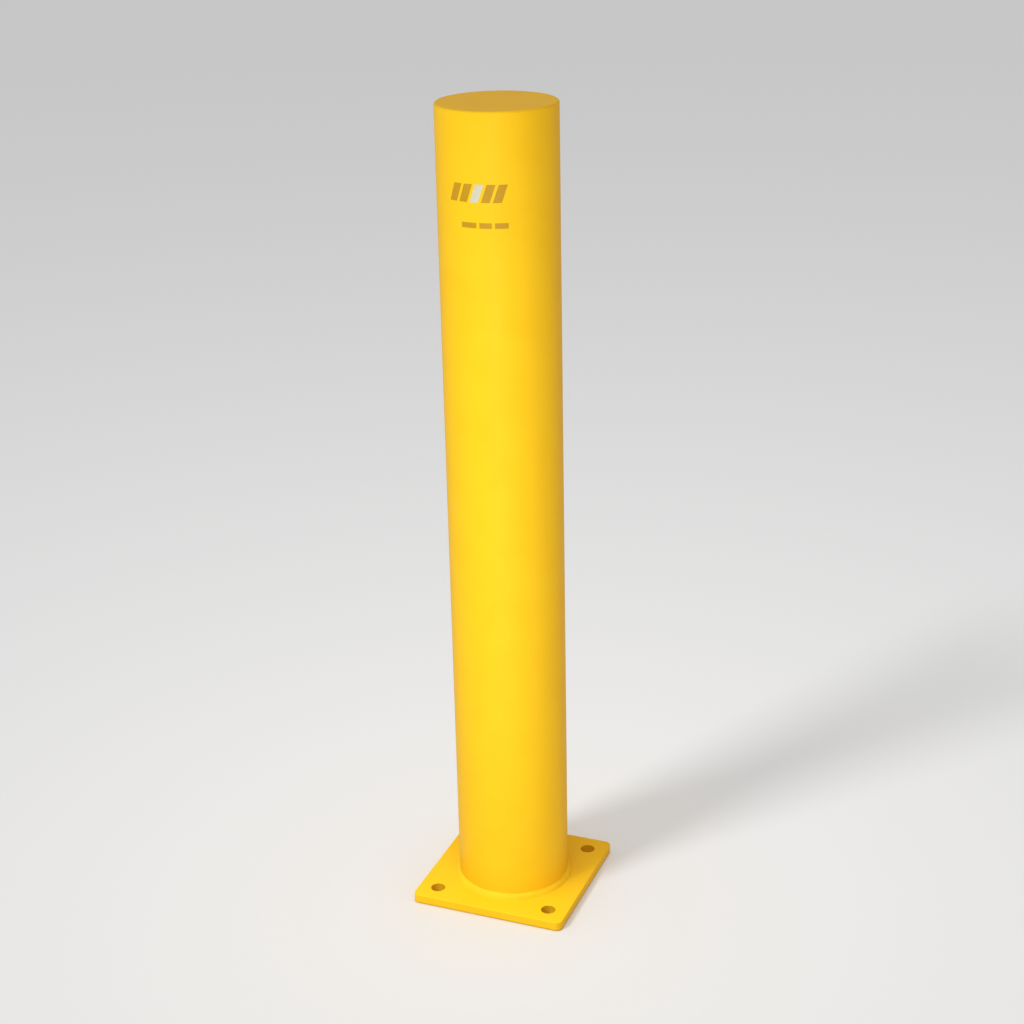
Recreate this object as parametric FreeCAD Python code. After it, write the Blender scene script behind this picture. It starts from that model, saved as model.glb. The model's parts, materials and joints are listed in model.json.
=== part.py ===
# Surface-mounted steel safety bollard.
# A round steel post stands upright on a square anchor plate. The post is fillet welded to the plate all
# round, and its top is closed by a steel disc whose corner weld is ground to a soft edge. Four holes in the
# plate take M16 ground anchors, and a vent hole under the post drains it. Cut vinyl marks sit on the front.
# Units are millimetres. +Z is up, -Y is the front, and the origin is the centre of the plate's underside.
import FreeCAD, Part

import math
import os

# Overall size
HEIGHT = 1000.0

# Post: 139.7 mm circular hollow section, with a seam bead inside and a bevelled foot for its weld
POST_DIAMETER = 139.7
POST_WALL = 5.0
SEAM_WIDTH = 4.0
SEAM_HEIGHT = 1.0
SEAM_BEVEL = 0.6
FOOT_BEVEL = 3.0

# Anchor plate
PLATE_SIDE = 200.0
PLATE_THICKNESS = 12.0
PLATE_CORNER_RADIUS = 8.0
PLATE_EDGE_CHAMFER = 1.0
ANCHOR_PITCH = 150.0
ANCHOR_HOLE_DIAMETER = 18.0
VENT_DIAMETER = 30.0

# Cap and welds
CAP_THICKNESS = 5.0
CAP_SETBACK = 3.0
FILLET_LEG = 6.0
FILLET_CROWN = 0.6

# Cut vinyl marks, measured along the post's surface. They sit a little to the right of the front line
VINYL_THICKNESS = 0.2
MARKS_SHIFT = 2.0
EMBLEM_TOP_DROP = 79.0
EMBLEM_WIDTH = 70.0
EMBLEM_HEIGHT = 20.0
EMBLEM_BARS = 5
EMBLEM_PALE_BAR = 2
EMBLEM_SLANT = 7.0
EMBLEM_GAP = 3.5
LINE_TOP_DROP = 121.5
LINE_HEIGHT = 6.0
LINE_DASHES = (18.0, 14.0, 15.0)
LINE_GAP = 3.5

POST_RADIUS = POST_DIAMETER / 2
BORE_RADIUS = POST_RADIUS - POST_WALL
POST_TOP = HEIGHT - CAP_THICKNESS
WELD_TOP = PLATE_THICKNESS + FILLET_LEG
CAP_RADIUS = POST_RADIUS - CAP_SETBACK
DIAGONAL = math.sqrt(0.5)
MOSTLY = 0.5
TOLERANCE = 0.01
UP = FreeCAD.Vector(0, 0, 1)


def disc(radius, bottom, top):
    """Solid cylinder on the Z axis between two heights."""
    return Part.makeCylinder(radius, top - bottom, FreeCAD.Vector(0, 0, bottom), UP)


def ring(section):
    """Turns an edge loop drawn in the XZ plane once round the Z axis."""
    face = Part.Face(Part.Wire(section))
    return face.revolve(FreeCAD.Vector(0, 0, 0), UP, 360)


def line(start, end):
    """Straight edge in the XZ plane between two (radius, height) points."""
    ends = [FreeCAD.Vector(radius, 0, height) for radius, height in (start, end)]
    return Part.LineSegment(*ends).toShape()


def arc(start, middle, end):
    """Arc in the XZ plane through three (radius, height) points."""
    points = [FreeCAD.Vector(radius, 0, height) for radius, height in (start, middle, end)]
    return Part.Arc(*points).toShape()


def upright(edge):
    """Whether an edge runs up and down."""
    return abs(edge.tangentAt(edge.FirstParameter).z) > MOSTLY


def base_plate():
    """Square plate with round corners, eased edges, four anchor holes and the vent hole."""
    half = PLATE_SIDE / 2
    plate = Part.makeBox(PLATE_SIDE, PLATE_SIDE, PLATE_THICKNESS, FreeCAD.Vector(-half, -half, 0))
    corners = [edge for edge in plate.Edges if upright(edge)]
    plate = plate.makeFillet(PLATE_CORNER_RADIUS, corners)
    rim = [edge for edge in plate.Edges if edge.BoundBox.ZMin > PLATE_THICKNESS - TOLERANCE]
    plate = plate.makeChamfer(PLATE_EDGE_CHAMFER, rim)
    plate = plate.cut(disc(VENT_DIAMETER / 2, 0, PLATE_THICKNESS))
    for x in (-ANCHOR_PITCH / 2, ANCHOR_PITCH / 2):
        for y in (-ANCHOR_PITCH / 2, ANCHOR_PITCH / 2):
            hole = disc(ANCHOR_HOLE_DIAMETER / 2, 0, PLATE_THICKNESS)
            hole.translate(FreeCAD.Vector(x, y, 0))
            plate = plate.cut(hole)
    return plate


def post_tube():
    """Welded tube from the plate to the underside of the cap, with its inner seam bead at the back."""
    wall = ring([
        line((BORE_RADIUS, PLATE_THICKNESS), (POST_RADIUS - FOOT_BEVEL, PLATE_THICKNESS)),
        line((POST_RADIUS - FOOT_BEVEL, PLATE_THICKNESS), (POST_RADIUS, WELD_TOP)),
        line((POST_RADIUS, WELD_TOP), (POST_RADIUS, POST_TOP)),
        line((POST_RADIUS, POST_TOP), (BORE_RADIUS, POST_TOP)),
        line((BORE_RADIUS, POST_TOP), (BORE_RADIUS, PLATE_THICKNESS)),
    ])
    bead = Part.makeBox(
        SEAM_WIDTH,
        SEAM_HEIGHT + POST_WALL / 4,
        POST_TOP - PLATE_THICKNESS,
        FreeCAD.Vector(-SEAM_WIDTH / 2, BORE_RADIUS - SEAM_HEIGHT, PLATE_THICKNESS),
    )
    crest = [edge for edge in bead.Edges if upright(edge) and edge.CenterOfMass.y < BORE_RADIUS]
    bead = bead.makeChamfer(SEAM_BEVEL, crest)
    return wall.fuse(bead).removeSplitter()


def top_cap():
    """Flat disc seated on the end of the tube, set back to leave room for its corner weld."""
    return disc(CAP_RADIUS, POST_TOP, HEIGHT)


def cap_weld():
    """Weld that fills the corner between disc and tube, ground flush with both to a quarter round."""
    edge_start = HEIGHT - CAP_SETBACK
    lean = CAP_SETBACK * DIAGONAL
    return ring([
        line((CAP_RADIUS, POST_TOP), (POST_RADIUS, POST_TOP)),
        line((POST_RADIUS, POST_TOP), (POST_RADIUS, edge_start)),
        arc((POST_RADIUS, edge_start), (CAP_RADIUS + lean, edge_start + lean), (CAP_RADIUS, HEIGHT)),
        line((CAP_RADIUS, HEIGHT), (CAP_RADIUS, POST_TOP)),
    ])


def base_weld():
    """Weld round the foot of the post: it fills the tube's bevel and ends in a slightly crowned fillet."""
    root = (POST_RADIUS - FOOT_BEVEL, PLATE_THICKNESS)
    toe = (POST_RADIUS + FILLET_LEG, PLATE_THICKNESS)
    head = (POST_RADIUS, WELD_TOP)
    crown = FILLET_LEG / 2 + FILLET_CROWN * DIAGONAL
    return ring([
        line(root, toe),
        arc(toe, (POST_RADIUS + crown, PLATE_THICKNESS + crown), head),
        line(head, root),
    ])


def vinyl(outline, bottom):
    """Wraps a flat outline of (distance right of the front line, height) points onto the post's face."""
    skin = disc(POST_RADIUS + VINYL_THICKNESS, bottom, POST_TOP).cut(disc(POST_RADIUS, bottom, POST_TOP))
    loops = []
    for radius in (BORE_RADIUS, POST_RADIUS + POST_WALL):
        corners = []
        for distance, height in outline:
            angle = distance / POST_RADIUS
            corners.append(FreeCAD.Vector(radius * math.sin(angle), -radius * math.cos(angle), height))
        loops.append(Part.makePolygon(corners + corners[:1]))
    return skin.common(Part.makeLoft(loops, True, True))


def emblem_bar(index):
    """One leaning bar of the emblem, counted from the left."""
    bar_width = (EMBLEM_WIDTH - EMBLEM_SLANT - EMBLEM_GAP * (EMBLEM_BARS - 1)) / EMBLEM_BARS
    left = MARKS_SHIFT - EMBLEM_WIDTH / 2 + index * (bar_width + EMBLEM_GAP)
    top = HEIGHT - EMBLEM_TOP_DROP
    bottom = top - EMBLEM_HEIGHT
    outline = [
        (left, bottom),
        (left + bar_width, bottom),
        (left + bar_width + EMBLEM_SLANT, top),
        (left + EMBLEM_SLANT, top),
    ]
    return vinyl(outline, bottom)


def emblem_bars(indexes):
    """The chosen bars of the emblem as one group of separate pieces of film."""
    return Part.makeCompound([emblem_bar(index) for index in indexes])


def mark_line():
    """Row of dashes under the emblem, ending in line with its right side."""
    top = HEIGHT - LINE_TOP_DROP
    bottom = top - LINE_HEIGHT
    left = MARKS_SHIFT + EMBLEM_WIDTH / 2 - sum(LINE_DASHES) - LINE_GAP * (len(LINE_DASHES) - 1)
    dashes = []
    for width in LINE_DASHES:
        outline = [(left, bottom), (left + width, bottom), (left + width, top), (left, top)]
        dashes.append(vinyl(outline, bottom))
        left += width + LINE_GAP
    return Part.makeCompound(dashes)


DARK_BARS = [index for index in range(EMBLEM_BARS) if index != EMBLEM_PALE_BAR]
NODES = {
    "base_plate": base_plate(),
    "base_weld": base_weld(),
    "post_tube": post_tube(),
    "top_cap": top_cap(),
    "cap_weld": cap_weld(),
    "vinyl_emblem_dark": emblem_bars(DARK_BARS),
    "vinyl_emblem_pale": emblem_bars([EMBLEM_PALE_BAR]),
    "vinyl_line": mark_line(),
}

os.makedirs("parts", exist_ok=True)
for name, shape in NODES.items():
    if not shape.isValid():
        raise ValueError(name + " is not a valid shape")
    shape.exportStep(os.path.join("parts", name + ".step"))
    print(name, len(shape.Solids), "solids,", round(shape.Volume), "mm3")
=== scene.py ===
"""Looks of a surface-mounted steel safety bollard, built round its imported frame.

A powder-coated post, cap and anchor plate with their welds, and cut vinyl marks, stand on a pale floor in
soft studio light. Units are metres in the row frame: +Z is up and -Y is the front.
"""

import json
import math

import bmesh
import bpy
from mathutils import Matrix, Vector


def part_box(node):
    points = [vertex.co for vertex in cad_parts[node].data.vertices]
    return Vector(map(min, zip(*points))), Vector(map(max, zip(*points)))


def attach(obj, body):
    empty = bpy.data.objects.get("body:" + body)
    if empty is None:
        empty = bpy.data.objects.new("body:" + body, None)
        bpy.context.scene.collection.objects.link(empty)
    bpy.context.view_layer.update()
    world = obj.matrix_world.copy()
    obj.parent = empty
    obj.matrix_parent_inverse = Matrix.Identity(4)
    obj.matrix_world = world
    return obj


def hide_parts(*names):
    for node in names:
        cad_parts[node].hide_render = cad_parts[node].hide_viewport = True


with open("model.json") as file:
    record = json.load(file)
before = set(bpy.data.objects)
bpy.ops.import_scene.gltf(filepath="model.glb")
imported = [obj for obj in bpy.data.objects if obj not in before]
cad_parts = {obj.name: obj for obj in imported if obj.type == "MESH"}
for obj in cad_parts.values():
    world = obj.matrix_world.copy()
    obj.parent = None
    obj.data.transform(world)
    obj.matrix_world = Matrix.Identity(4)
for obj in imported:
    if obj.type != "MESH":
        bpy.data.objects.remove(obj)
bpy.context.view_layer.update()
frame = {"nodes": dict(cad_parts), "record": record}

TAU = 2 * math.pi
MM = 0.001

# Sizes read from the frame
PLATE_LOW, PLATE_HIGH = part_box("base_plate")
TUBE_LOW, TUBE_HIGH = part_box("post_tube")
_WELD_LOW, WELD_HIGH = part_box("base_weld")
CAP_LOW, CAP_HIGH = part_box("top_cap")
MOUNTS = {mount["name"]: mount for mount in frame["record"]["mounts"]}
POST_RADIUS = MOUNTS["post_outside"]["dims"]["r_mm"] * MM
ANCHOR_RADIUS = MOUNTS["anchor_holes"]["dims"]["hole_r_mm"] * MM
ANCHOR_OFFSET = MOUNTS["anchor_holes"]["dims"]["spacing_x_mm"] * MM / 2
FILLET_LEG = WELD_HIGH.x - POST_RADIUS
CAP_RADIUS = CAP_HIGH.x

# Sizes that the frame doesn't give
POST_WALL = 5.0 * MM
FOOT_BEVEL = 3.0 * MM
SEAM_WIDTH = 4.0 * MM
SEAM_HEIGHT = 1.0 * MM
PLATE_CORNER_RADIUS = 8.0 * MM
PLATE_EDGE_ROUND = 1.0 * MM
HOLE_EDGE_ROUND = 0.6 * MM
UNDERSIDE_ROUND = 0.9 * MM
HOLE_UNDERSIDE_ROUND = 0.3 * MM
THIN_FOOT = 2.0 * MM
VENT_RADIUS = 15.0 * MM
FILLET_CROWN = 0.6 * MM
SEAM_SWELL = 0.09 * MM
CAP_DISH = 0.25 * MM
CAP_MIDDLE_RADIUS = 4.0 * MM
RIPPLE_PITCH = 2.3 * MM
RIPPLE_HEIGHT = 0.13 * MM
START_WIDTH = 5.0 * MM
START_HEIGHT = 0.35 * MM
CRISP_ANGLE = math.radians(40)


# Mesh tools

def finished(name, mesh_data, material):
    """Turns a bmesh into an object with outward, smooth faces that stay crisp at real edges."""
    bmesh.ops.recalc_face_normals(mesh_data, faces=mesh_data.faces)
    for face in mesh_data.faces:
        face.smooth = True
    for edge in mesh_data.edges:
        edge.smooth = edge.calc_face_angle(0.0) < CRISP_ANGLE
    mesh = bpy.data.meshes.new(name)
    mesh_data.to_mesh(mesh)
    mesh_data.free()
    mesh.materials.append(material)
    piece = bpy.data.objects.new(name, mesh)
    bpy.context.scene.collection.objects.link(piece)
    weighted = piece.modifiers.new("even_normals", "WEIGHTED_NORMAL")
    weighted.keep_sharp = True
    return piece


def skin_rings(mesh_data, rings, wrap):
    """Joins rings of the same number of vertices with quads, and the last to the first where wrap is set."""
    pairs = list(zip(rings, rings[1:]))
    if wrap:
        pairs.append((rings[-1], rings[0]))
    for here, there in pairs:
        for index in range(len(here)):
            after = (index + 1) % len(here)
            mesh_data.faces.new((here[index], here[after], there[after], there[index]))


def turned(name, profile, segments, material, wrap=True):
    """Turns a profile once round Z.

    profile(angle) gives its (radius, height) points at that angle from the front. wrap joins the last point
    to the first. Without it, a flat face closes each end.
    """
    mesh_data = bmesh.new()
    columns = []
    for step in range(segments):
        angle = TAU * step / segments
        columns.append([
            mesh_data.verts.new((radius * math.sin(angle), -radius * math.cos(angle), height))
            for radius, height in profile(angle)
        ])
    rings = [list(ring) for ring in zip(*columns)]
    skin_rings(mesh_data, rings, wrap)
    if not wrap:
        mesh_data.faces.new(rings[0])
        mesh_data.faces.new(rings[-1])
    return finished(name, mesh_data, material)


def rounding(radius, steps=5):
    """(inset, drop) of each point of a quarter round, from the side up to the top face."""
    angles = [math.pi / 2 * step / steps for step in range(steps + 1)]
    return [(radius * (1 - math.cos(angle)), radius * (1 - math.sin(angle))) for angle in angles]


def spread(start, end, count):
    """Evenly spaced numbers from start to end, both included."""
    return [start + (end - start) * index / (count - 1) for index in range(count)]


# Pieces

def rounded_square(half, corner, height, steps=12):
    """Points of a square with round corners, counterclockwise from the front right corner."""
    points = []
    for quarter in range(4):
        turn = -math.pi / 2 + quarter * math.pi / 2
        side_x = math.copysign(half - corner, math.cos(turn + math.pi / 4))
        side_y = math.copysign(half - corner, math.sin(turn + math.pi / 4))
        for step in range(steps + 1):
            angle = turn + math.pi / 2 * step / steps
            points.append((side_x + corner * math.cos(angle), side_y + corner * math.sin(angle), height))
    return points


def circle(centre, radius, height, steps=64):
    """Points of a level circle."""
    angles = [TAU * step / steps for step in range(steps)]
    return [(centre[0] + radius * math.cos(a), centre[1] + radius * math.sin(a), height) for a in angles]


def edge_levels(bottom_round, top_round):
    """(inset, height) of each ring up the side of the plate, with both edges rounded."""
    low = [(inset, PLATE_LOW.z + drop) for inset, drop in reversed(rounding(bottom_round, 3))]
    high = [(inset, PLATE_HIGH.z - drop) for inset, drop in rounding(top_round)]
    return low + high


def plate(material):
    """Anchor plate: rounded outline, four anchor holes and a vent, with edges eased as under a thick coat."""
    mesh_data = bmesh.new()
    rims = []

    def wall(levels, outline):
        rings = []
        for inset, height in levels:
            rings.append([mesh_data.verts.new(point) for point in outline(inset, height)])
        skin_rings(mesh_data, rings, False)
        rims.append((rings[0], rings[-1]))

    wall(
        edge_levels(UNDERSIDE_ROUND, PLATE_EDGE_ROUND),
        lambda inset, height: rounded_square(PLATE_HIGH.x - inset, PLATE_CORNER_RADIUS - inset, height),
    )
    holes = [((0.0, 0.0), VENT_RADIUS)]
    for x in (-ANCHOR_OFFSET, ANCHOR_OFFSET):
        for y in (-ANCHOR_OFFSET, ANCHOR_OFFSET):
            holes.append(((x, y), ANCHOR_RADIUS))
    for centre, radius in holes:
        wall(
            edge_levels(HOLE_UNDERSIDE_ROUND, HOLE_EDGE_ROUND),
            lambda inset, height, centre=centre, radius=radius: circle(centre, radius + inset, height),
        )
    for level in (0, 1):
        edges = []
        for rim in rims:
            ring = rim[level]
            for index, vertex in enumerate(ring):
                edges.append(mesh_data.edges.get((vertex, ring[(index + 1) % len(ring)])))
        bmesh.ops.triangle_fill(mesh_data, use_beauty=True, edges=edges)
    return finished("anchor_plate", mesh_data, material)


def post(material):
    """Post tube with its bevelled foot, its scarfed outer seam at the back and the bead left inside."""
    levels = spread(WELD_HIGH.z, TUBE_HIGH.z, 25)
    bore = POST_RADIUS - POST_WALL

    def profile(angle):
        from_seam = (angle - math.pi) * POST_RADIUS / SEAM_WIDTH
        swell = math.exp(-4 * from_seam ** 2)
        outer = POST_RADIUS + SEAM_SWELL * swell
        inner = bore - SEAM_HEIGHT * swell
        points = [(outer - FOOT_BEVEL, TUBE_LOW.z)]
        points += [(outer, height) for height in levels]
        points += [(inner, height) for height in (TUBE_HIGH.z, TUBE_LOW.z)]
        return points

    return turned("post_shell", profile, 360, material)


def cap(material):
    """Cap disc, very slightly dished by the heat of its weld."""
    radii = spread(CAP_MIDDLE_RADIUS, CAP_RADIUS, 16)

    def profile(_angle):
        top = []
        for radius in radii:
            share = radius / CAP_RADIUS
            top.append((radius, CAP_HIGH.z - CAP_DISH * (1 - share ** 2)))
        return top + [(CAP_RADIUS, CAP_LOW.z), (radii[0], CAP_LOW.z)]

    return turned("cap_disc", profile, 180, material, wrap=False)


def ground_weld(material):
    """Corner weld between cap and post, ground by hand: its round edge wanders a little along the rim."""
    def profile(angle):
        width = POST_RADIUS - CAP_RADIUS
        wander = (
            0.10 * math.sin(9 * angle + 0.6)
            + 0.07 * math.sin(23 * angle + 2.1)
            + 0.04 * math.sin(41 * angle)
        )
        edge = width * (0.90 + 0.5 * wander)
        points = [(POST_RADIUS, TUBE_HIGH.z)]
        for inset, drop in rounding(edge, 9):
            points.append((POST_RADIUS - inset, CAP_HIGH.z - drop))
        return points + [(CAP_RADIUS, CAP_HIGH.z), (CAP_RADIUS, TUBE_HIGH.z)]

    return turned("cap_weld_ring", profile, 360, material)


def foot_weld(material):
    """Fillet weld at the foot: overlapping ripples, an uneven toe and a lump where each pass starts."""
    steps = 16
    starts = [math.radians(angle) for angle in (40, 128, 221, 317)]

    def profile(angle):
        unevenness = (
            math.sin(7 * angle + 1.0)
            + 0.7 * math.sin(17 * angle + 0.3)
            + 0.4 * math.sin(31 * angle + 2.0)
        )
        leg_out = FILLET_LEG * (0.93 + 0.035 * unevenness)
        leg_up = FILLET_LEG * (1.03 + 0.030 * math.sin(11 * angle + 0.8) + 0.015 * math.sin(29 * angle))
        lump = 0.0
        for start in starts:
            along = (angle - start + math.pi) % TAU - math.pi
            along *= POST_RADIUS / START_WIDTH
            lump += math.exp(-along ** 2) - 0.8 * math.exp(-(along - 1.9) ** 2 * 2)
        points = [(POST_RADIUS - FOOT_BEVEL, PLATE_HIGH.z - 0.2 * MM)]
        for step in range(steps + 1):
            share = step / steps
            belly = math.sin(math.pi * share)
            phase = TAU * (angle * (POST_RADIUS + FILLET_LEG / 2) / RIPPLE_PITCH + 1.1 * belly)
            ripple = RIPPLE_HEIGHT * math.sin(phase) * belly ** 0.7
            proud = FILLET_CROWN * belly + ripple + START_HEIGHT * lump * belly
            out = POST_RADIUS + leg_out * (1 - share) + proud * math.sqrt(0.5)
            height = PLATE_HIGH.z + leg_up * share + proud * math.sqrt(0.5)
            points.append((out, height))
        return points

    return turned("foot_weld_bead", profile, 1440, material)


# Materials

class Shader:
    """Short calls for building one material's node tree."""

    def __init__(self, name):
        self.material = bpy.data.materials.new(name)
        self.material.use_nodes = True
        self.tree = self.material.node_tree
        self.surface = self.tree.nodes["Principled BSDF"]
        self.place = self.node("ShaderNodeTexCoord").outputs["Object"]

    def node(self, kind, **values):
        made = self.tree.nodes.new(kind)
        for key, value in values.items():
            setattr(made, key, value)
        return made

    def feed(self, socket, value):
        """Links an output to a socket, or sets the socket to a value."""
        if isinstance(value, bpy.types.NodeSocket):
            self.tree.links.new(value, socket)
        else:
            socket.default_value = value

    def maths(self, operation, first, second=0.0, third=0.0):
        made = self.node("ShaderNodeMath", operation=operation)
        for socket, value in zip(made.inputs, (first, second, third)):
            self.feed(socket, value)
        return made.outputs[0]

    def stretched(self, scale):
        """Object coordinates times a scale for each axis."""
        made = self.node("ShaderNodeVectorMath", operation="MULTIPLY")
        self.feed(made.inputs[0], self.place)
        self.feed(made.inputs[1], scale)
        return made.outputs[0]

    def noise(self, scale, detail=2.0, roughness=0.5, place=None):
        made = self.node("ShaderNodeTexNoise")
        self.feed(made.inputs["Vector"], self.place if place is None else place)
        self.feed(made.inputs["Scale"], scale)
        self.feed(made.inputs["Detail"], detail)
        self.feed(made.inputs["Roughness"], roughness)
        return made.outputs["Fac"]

    def ramp(self, value, low, high, to_low, to_high):
        """Maps value from low..high to to_low..to_high, held at both ends."""
        made = self.node("ShaderNodeMapRange")
        for socket, number in zip(made.inputs, (value, low, high, to_low, to_high)):
            self.feed(socket, number)
        return made.outputs[0]

    def mixed(self, share, first, second):
        made = self.node("ShaderNodeMix", data_type="RGBA")
        self.feed(made.inputs[0], share)
        self.feed(made.inputs[6], first)
        self.feed(made.inputs[7], second)
        return made.outputs[2]

    def bump(self, height, depth, under=None):
        """Bump whose full height range is depth metres, on top of an earlier bump."""
        made = self.node("ShaderNodeBump")
        self.feed(made.inputs["Strength"], 1.0)
        self.feed(made.inputs["Distance"], depth)
        self.feed(made.inputs["Height"], height)
        if under is not None:
            self.feed(made.inputs["Normal"], under)
        return made.outputs["Normal"]


COAT_COLOUR = (0.90, 0.478, 0.011, 1.0)
COAT_THIN = (0.89, 0.467, 0.010, 1.0)
COAT_THICK = (0.905, 0.486, 0.012, 1.0)
# Painted shade: a darker coat for the plate's hole walls and the foot of its sides, where shade falls.
COAT_PAINTED_SHADE = (0.66, 0.33, 0.008, 1.0)


def powder_coat(name, marks=None, painted_shade=None):
    """Semi-gloss powder coat: orange peel, slight flow, patches of thinner film and faint changes in gloss.

    marks(shader) may give the height of tool marks that show through the film, and their depth.
    The last argument may give, from 0 to 1, where the coat is darkened by painted shade.
    """
    shader = Shader(name)
    film = shader.noise(26.0, 3.0, 0.55)
    colour = shader.mixed(shader.ramp(film, 0.34, 0.5, 0.0, 1.0), COAT_THIN, COAT_COLOUR)
    colour = shader.mixed(shader.ramp(film, 0.52, 0.70, 0.0, 1.0), colour, COAT_THICK)
    speckle = shader.noise(900.0, 1.0)
    colour = shader.mixed(shader.ramp(speckle, 0.60, 0.75, 0.0, 0.5), colour, COAT_THIN)
    # Painted shade mixed into the coat's colour where the mask asks for it.
    if painted_shade is not None:
        colour = shader.mixed(painted_shade(shader), colour, COAT_PAINTED_SHADE)
    shader.feed(shader.surface.inputs["Base Color"], colour)

    haze = shader.noise(55.0, 4.0, 0.6)
    shader.feed(shader.surface.inputs["Roughness"], shader.ramp(haze, 0.30, 0.70, 0.42, 0.52))
    shader.surface.inputs["Specular IOR Level"].default_value = 0.06

    normal = None
    if marks is not None:
        height, depth = marks(shader)
        normal = shader.bump(height, depth)
    flow = shader.noise(90.0, 1.0)
    normal = shader.bump(flow, 0.03 * MM, normal)
    peel = shader.noise(480.0, 2.0, 0.45)
    normal = shader.bump(peel, 0.045 * MM, normal)
    shader.feed(shader.surface.inputs["Normal"], normal)
    return shader.material


def draw_lines(shader):
    """Faint lines along the tube from its forming rolls."""
    return shader.noise(1.0, 2.0, 0.5, shader.stretched((260.0, 260.0, 1.6))), 0.05 * MM


def cut_sides(shader):
    """1 on the plate's cut sides, hole walls and underside, 0 on its upper face."""
    facing = shader.node("ShaderNodeSeparateXYZ")
    shader.feed(facing.inputs[0], shader.node("ShaderNodeNewGeometry").outputs["True Normal"])
    return shader.ramp(facing.outputs["Z"], 0.2, 0.5, 1.0, 0.0)


def cut_edges(shader):
    """Upright striations that a cutting flame leaves on the plate's sides, and nothing on its faces."""
    lines = shader.noise(1.0, 2.0, 0.6, shader.stretched((900.0, 900.0, 45.0)))
    return shader.maths("MULTIPLY", lines, cut_sides(shader)), 0.16 * MM


def shade_in_holes_and_foot(shader):
    """Painted shade: darkens the walls of the plate's holes, and the very foot of its outer sides, where
    shade falls.
    """
    place = shader.node("ShaderNodeSeparateXYZ")
    shader.feed(place.inputs[0], shader.place)
    reach = shader.maths(
        "MAXIMUM",
        shader.maths("ABSOLUTE", place.outputs["X"]),
        shader.maths("ABSOLUTE", place.outputs["Y"]),
    )
    edge = PLATE_HIGH.x - PLATE_CORNER_RADIUS
    in_holes = shader.ramp(reach, edge - MM, edge, 1.0, 0.0)
    at_foot = shader.ramp(place.outputs["Z"], 0.7 * THIN_FOOT, 1.3 * THIN_FOOT, 1.0, 0.0)
    return shader.maths("MULTIPLY", cut_sides(shader), shader.maths("MAXIMUM", in_holes, at_foot))


def grinding(shader):
    """Fine overlapping scratches of a grinding disc."""
    return shader.noise(1.0, 3.0, 0.6, shader.stretched((300.0, 900.0, 300.0))), 0.05 * MM


def vinyl(name, colour, worn):
    """Cut vinyl film: satin, with a soft unevenness where it follows the coat under it."""
    shader = Shader(name)
    fade = shader.ramp(shader.noise(140.0, 3.0, 0.6), 0.35, 0.7, 0.0, 1.0)
    shader.feed(shader.surface.inputs["Base Color"], shader.mixed(fade, colour, worn))
    shader.feed(shader.surface.inputs["Roughness"], shader.ramp(shader.noise(300.0), 0.3, 0.7, 0.42, 0.55))
    shader.surface.inputs["Specular IOR Level"].default_value = 0.15
    shader.feed(shader.surface.inputs["Normal"], shader.bump(shader.noise(420.0), 0.02 * MM))
    return shader.material


# Object

PIECES = [
    (plate(powder_coat("coat_on_plate", cut_edges, shade_in_holes_and_foot)), "base_plate"),
    (post(powder_coat("coat_on_post", draw_lines)), "post_tube"),
    (cap(powder_coat("coat_on_cap", grinding)), "top_cap"),
    (ground_weld(powder_coat("coat_on_ground_weld", grinding)), "cap_weld"),
    (foot_weld(powder_coat("coat_on_weld")), "base_weld"),
]
for piece, node in PIECES:
    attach(piece, "root")
    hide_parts(node)

OCHRE_FILM = vinyl("ochre_film", (0.49, 0.23, 0.006, 1.0), (0.53, 0.255, 0.010, 1.0))
PALE_FILM = vinyl("pale_film", (0.56, 0.48, 0.35, 1.0), (0.60, 0.52, 0.39, 1.0))
FILMS = {"vinyl_emblem_dark": OCHRE_FILM, "vinyl_line": OCHRE_FILM, "vinyl_emblem_pale": PALE_FILM}
MARKS = []
for node, film in FILMS.items():
    marks = frame["nodes"][node]
    marks.data.materials.clear()
    marks.data.materials.append(film)
    MARKS.append(marks)


# Camera: to the right of the front, a little over two metres away and looking down

VIEW_AZIMUTH = math.radians(21.93)
VIEW_HEADING = math.radians(21.73)
VIEW_TILT = math.radians(68.10)
VIEW_ROLL = math.radians(-1.25)
VIEW_DISTANCE = 2.097
VIEW_HEIGHT = 1.353
LENS = 66.14

camera = bpy.data.objects.new("camera", bpy.data.cameras.new("camera"))
camera.data.lens = LENS
heading = Matrix.Rotation(VIEW_HEADING, 4, "Z")
tilt = Matrix.Rotation(VIEW_TILT, 4, "X")
roll = Matrix.Rotation(VIEW_ROLL, 4, "Z")
stand = Vector((VIEW_DISTANCE * math.sin(VIEW_AZIMUTH), -VIEW_DISTANCE * math.cos(VIEW_AZIMUTH), VIEW_HEIGHT))
camera.matrix_world = Matrix.Translation(stand) @ (heading @ tilt @ roll)
bpy.context.scene.collection.objects.link(camera)
bpy.context.scene.camera = camera


# Studio

PANEL_COLOUR = (0.80, 1.0, 1.0)
FLOOR_SIZE = 60.0
# Painted light on the floor: a bright pool near the middle that fades outwards.
FLOOR_PAINTED_POOL = (0.895, 0.895, 0.895, 1.0)
FLOOR_FAR = (0.565, 0.565, 0.565, 1.0)
FLOOR_RIM = (0.537, 0.537, 0.537, 1.0)
FLOOR_FADE = 2.0
FLOOR_RIM_FADE = (10.0, 25.0)


def only_for(name, members):
    """Collection that a lamp can be limited to, so the floor, foot, shaft and top are lit on their own."""
    group = bpy.data.collections.new(name)
    for member in members:
        group.objects.link(member)
    return group


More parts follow.
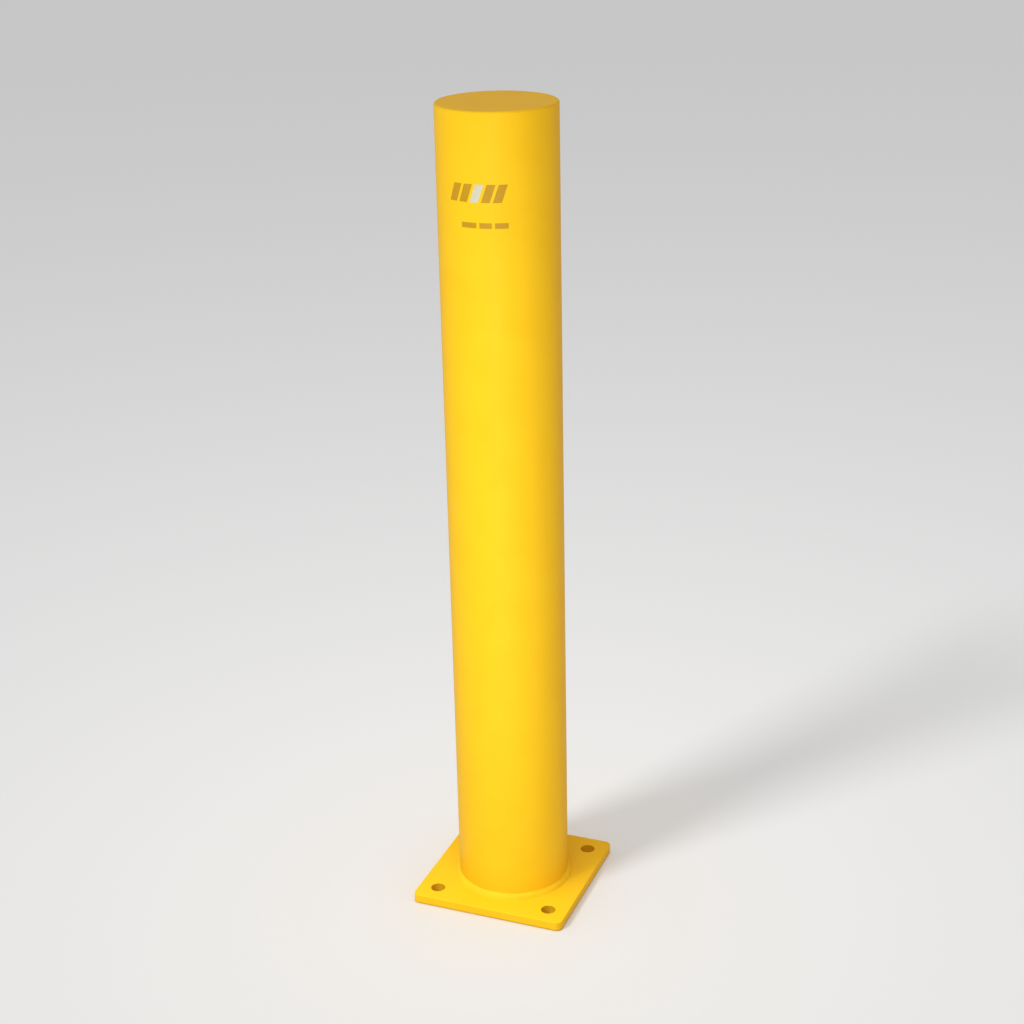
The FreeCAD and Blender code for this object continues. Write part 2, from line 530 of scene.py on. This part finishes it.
def studio_floor():
    """Broad pale floor with painted light: a little darker away from the middle, as a pool of light falls
    off, and as bright as the air at its rim.
    """
    mesh_data = bmesh.new()
    bmesh.ops.create_grid(mesh_data, x_segments=24, y_segments=24, size=FLOOR_SIZE / 2)
    mesh = bpy.data.meshes.new("floor")
    mesh_data.to_mesh(mesh)
    mesh_data.free()
    shader = Shader("floor_paint")
    length = shader.node("ShaderNodeVectorMath", operation="LENGTH")
    shader.feed(length.inputs[0], shader.place)
    distance = length.outputs["Value"]
    outer = shader.mixed(shader.ramp(distance, *FLOOR_RIM_FADE, 0.0, 1.0), FLOOR_FAR, FLOOR_RIM)
    # Painted light: the pool fades with distance from the middle.
    painted_pool = shader.maths("EXPONENT", shader.maths("MULTIPLY", distance, -1 / FLOOR_FADE))
    shader.feed(shader.surface.inputs["Base Color"], shader.mixed(painted_pool, outer, FLOOR_PAINTED_POOL))
    shader.surface.inputs["Roughness"].default_value = 0.95
    shader.surface.inputs["Specular IOR Level"].default_value = 0.0
    mesh.materials.append(shader.material)
    floor = bpy.data.objects.new("floor", mesh)
    bpy.context.scene.collection.objects.link(floor)
    return floor


def hung(name, lamp, only):
    """Adds a lamp that the camera doesn't see, limited to one group of objects."""
    holder = bpy.data.objects.new(name, lamp)
    holder.visible_camera = False
    holder.light_linking.receiver_collection = only
    bpy.context.scene.collection.objects.link(holder)
    return holder


def softbox(name, bearing, distance, height, width, tall, power, aim, only):
    """Soft, slightly cool panel at a bearing, in degrees to the right of the camera's side of the post.

    It faces the height aim on the post's axis, or straight down if aim is None.
    """
    lamp = bpy.data.lights.new(name, "AREA")
    lamp.shape = "RECTANGLE"
    lamp.size = width
    lamp.size_y = tall
    lamp.energy = power
    lamp.color = PANEL_COLOUR
    panel = hung(name, lamp, only)
    angle = VIEW_AZIMUTH + math.radians(bearing)
    panel.location = (distance * math.sin(angle), -distance * math.cos(angle), height)
    panel.rotation_euler = (0, 0, angle)
    if aim is not None:
        panel.rotation_euler = (Vector((0, 0, aim)) - panel.location).to_track_quat("-Z", "Y").to_euler()


def far_light(name, bearing, elevation, spread_angle, strength, only):
    """Distant soft light from a bearing and an elevation, both in degrees."""
    lamp = bpy.data.lights.new(name, "SUN")
    lamp.energy = strength
    lamp.angle = math.radians(spread_angle)
    angle = VIEW_AZIMUTH + math.radians(bearing)
    hung(name, lamp, only).rotation_euler = (math.radians(90 - elevation), 0, angle)


def surroundings(brightness):
    """Even grey light from every side."""
    world = bpy.data.worlds.new("studio_air")
    world.use_nodes = True
    background = world.node_tree.nodes["Background"]
    background.inputs["Color"].default_value = (brightness, brightness, brightness, 1.0)
    bpy.context.scene.world = world


foot = [piece for piece, node in PIECES if node in ("base_plate", "base_weld")]
shaft = [piece for piece, _node in PIECES if piece not in foot] + MARKS
top = [piece for piece, node in PIECES if node in ("top_cap", "cap_weld")]
floor_only = only_for("floor_only", [studio_floor()])
foot_only = only_for("foot_only", foot)
shaft_only = only_for("shaft_only", shaft)
top_only = only_for("top_only", top)
whole_object = only_for("whole_object", foot + shaft)
surroundings(0.536)
far_light("ceiling_glow", 0, 90, 40, 0.635, floor_only)
far_light("shadow_light", -54, 42, 14, 1.22, floor_only)
far_light("top_glow", 0, 90, 40, 0.30, top_only)
softbox("side_panel", -48, 3.0, 2.2, 0.45, 0.45, 32.2, 0.3, whole_object)
softbox("front_panel", -9, 0.65, 0.54, 0.2, 1.08, 3.7, 0.54, shaft_only)
softbox("back_panel", 180, 1.6, 0.5, 0.5, 0.9, 8.0, 0.5, shaft_only)
softbox("foot_panel_front", 0, 0.45, 0.60, 0.4, 0.3, 2.4, None, foot_only)
softbox("foot_panel_side", -52, 0.45, 0.60, 0.4, 0.3, 3.0, None, foot_only)
bpy.context.scene.view_settings.view_transform = "Standard"
